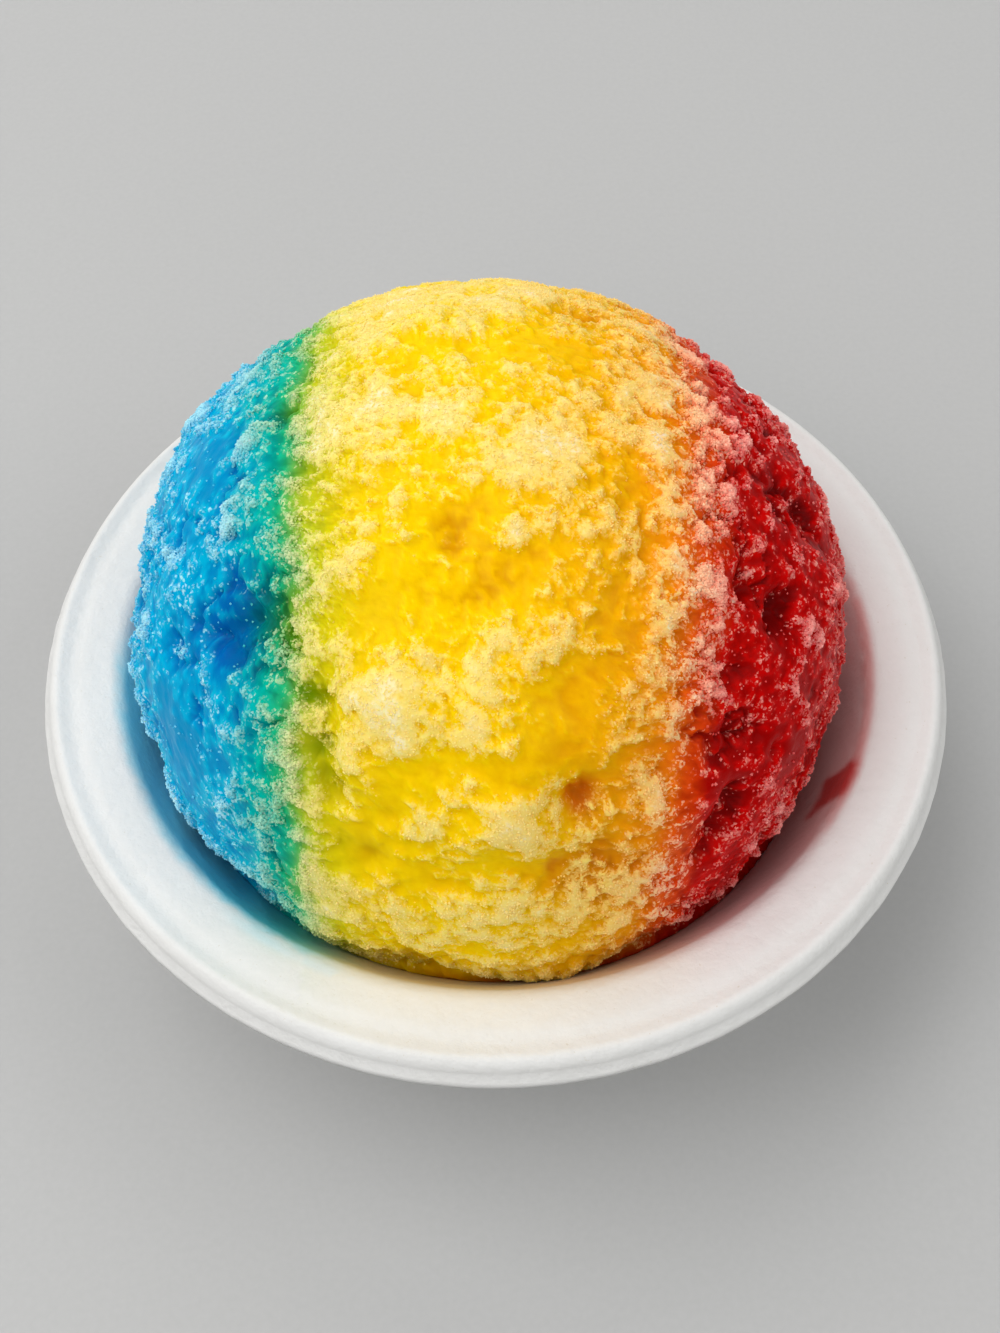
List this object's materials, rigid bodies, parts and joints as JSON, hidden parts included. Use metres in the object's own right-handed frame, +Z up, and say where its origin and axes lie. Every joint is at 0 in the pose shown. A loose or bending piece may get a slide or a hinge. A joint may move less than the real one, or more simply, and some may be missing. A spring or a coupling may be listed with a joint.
{
  "type": "shaved ice dessert",
  "caption": "Round ball of shaved ice soaked with blue, yellow and red syrup, packed in a wide-rimmed round bowl of white moulded fibre.",
  "frame": {"origin": "middle of the bowl's foot, on the surface it stands on", "axes": "+Z up, +X towards the red side of the ice, -X towards the blue side, -Y towards the near side"},
  "size_m": [0.155, 0.155, 0.1037],
  "materials": {
    "fibre": "matte white moulded plant fibre, slightly uneven",
    "syruped_ice": "granular shaved ice in blue, yellow and red stripes, frosted on the lumps and wet with syrup in the hollows"
  },
  "bodies": {
    "root": {"bowl": "fibre", "shaved_ice": "syruped_ice"}
  },
  "joints": []
}
